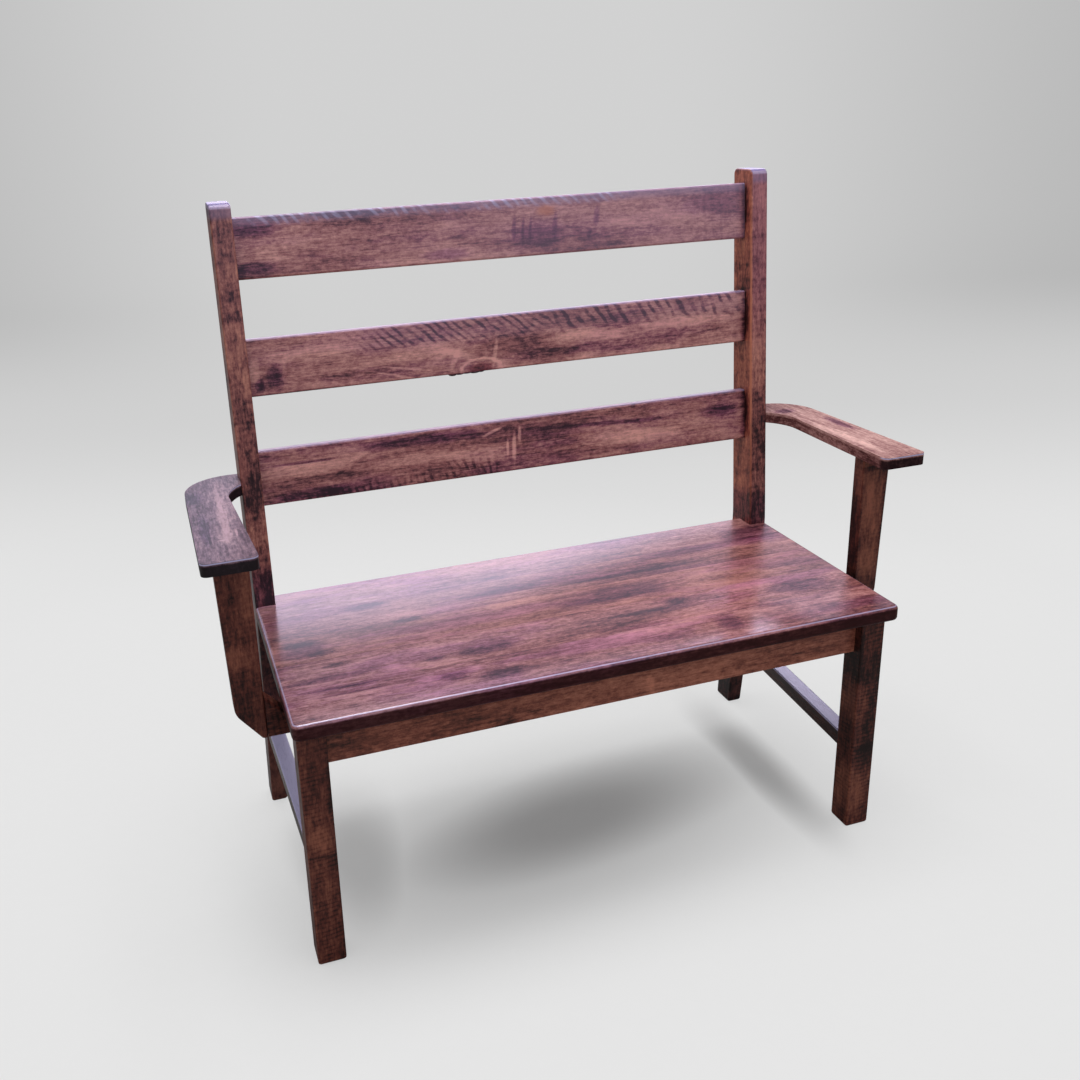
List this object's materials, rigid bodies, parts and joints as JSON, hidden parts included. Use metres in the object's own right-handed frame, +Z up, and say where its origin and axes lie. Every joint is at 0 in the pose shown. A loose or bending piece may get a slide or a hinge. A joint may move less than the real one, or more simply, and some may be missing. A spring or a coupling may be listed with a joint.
{
  "type": "hall bench",
  "caption": "Stained wooden hall bench with a plank seat, raked slat back, flat bent arms on outboard supports and rear posts that kick back at the feet.",
  "frame": {"origin": "on the floor, under the middle of the bench's bounding box", "axes": "+X along the seat, to the right as seen from the front; +Y from the seat's front edge towards the back; +Z up"},
  "size_m": [1.238, 0.5363, 1.16],
  "materials": {
    "seat_stain": "satin lacquer over red-brown stain, figured maple",
    "slat_stain": "satin lacquer over red-brown stain, curly figure",
    "frame_stain": "satin lacquer over dark red-brown stain",
    "arm_stain": "satin lacquer over mauve-brown stain",
    "plain_wood": "unfinished hardwood, hidden blocks and dowels",
    "zinc_steel": "zinc plated screws"
  },
  "bodies": {
    "root": {"seat_board_1": "seat_stain", "seat_board_2": "seat_stain", "seat_board_3": "seat_stain", "seat_board_4": "seat_stain", "seat_board_5": "seat_stain", "top_slat": "slat_stain", "middle_slat": "slat_stain", "lower_slat": "slat_stain", "front_apron": "frame_stain", "rear_apron": "frame_stain", "front_leg_left": "frame_stain", "back_post_left": "frame_stain", "side_apron_left": "frame_stain", "side_stretcher_left": "frame_stain", "arm_support_left": "frame_stain", "arm_spacer_left": "frame_stain", "arm_left": "arm_stain", "corner_block_front_left": "plain_wood", "seat_screw_front_left": "zinc_steel", "arm_dowel_front_left": "plain_wood", "corner_block_rear_left": "plain_wood", "seat_screw_rear_left": "zinc_steel", "arm_dowel_rear_left": "plain_wood", "arm_support_screw_lower_left": "zinc_steel", "arm_support_screw_upper_left": "zinc_steel", "front_leg_right": "frame_stain", "back_post_right": "frame_stain", "side_apron_right": "frame_stain", "side_stretcher_right": "frame_stain", "arm_support_right": "frame_stain", "arm_spacer_right": "frame_stain", "arm_right": "arm_stain", "corner_block_front_right": "plain_wood", "seat_screw_front_right": "zinc_steel", "arm_dowel_front_right": "plain_wood", "corner_block_rear_right": "plain_wood", "seat_screw_rear_right": "zinc_steel", "arm_dowel_rear_right": "plain_wood", "arm_support_screw_lower_right": "zinc_steel", "arm_support_screw_upper_right": "zinc_steel"}
  },
  "joints": []
}
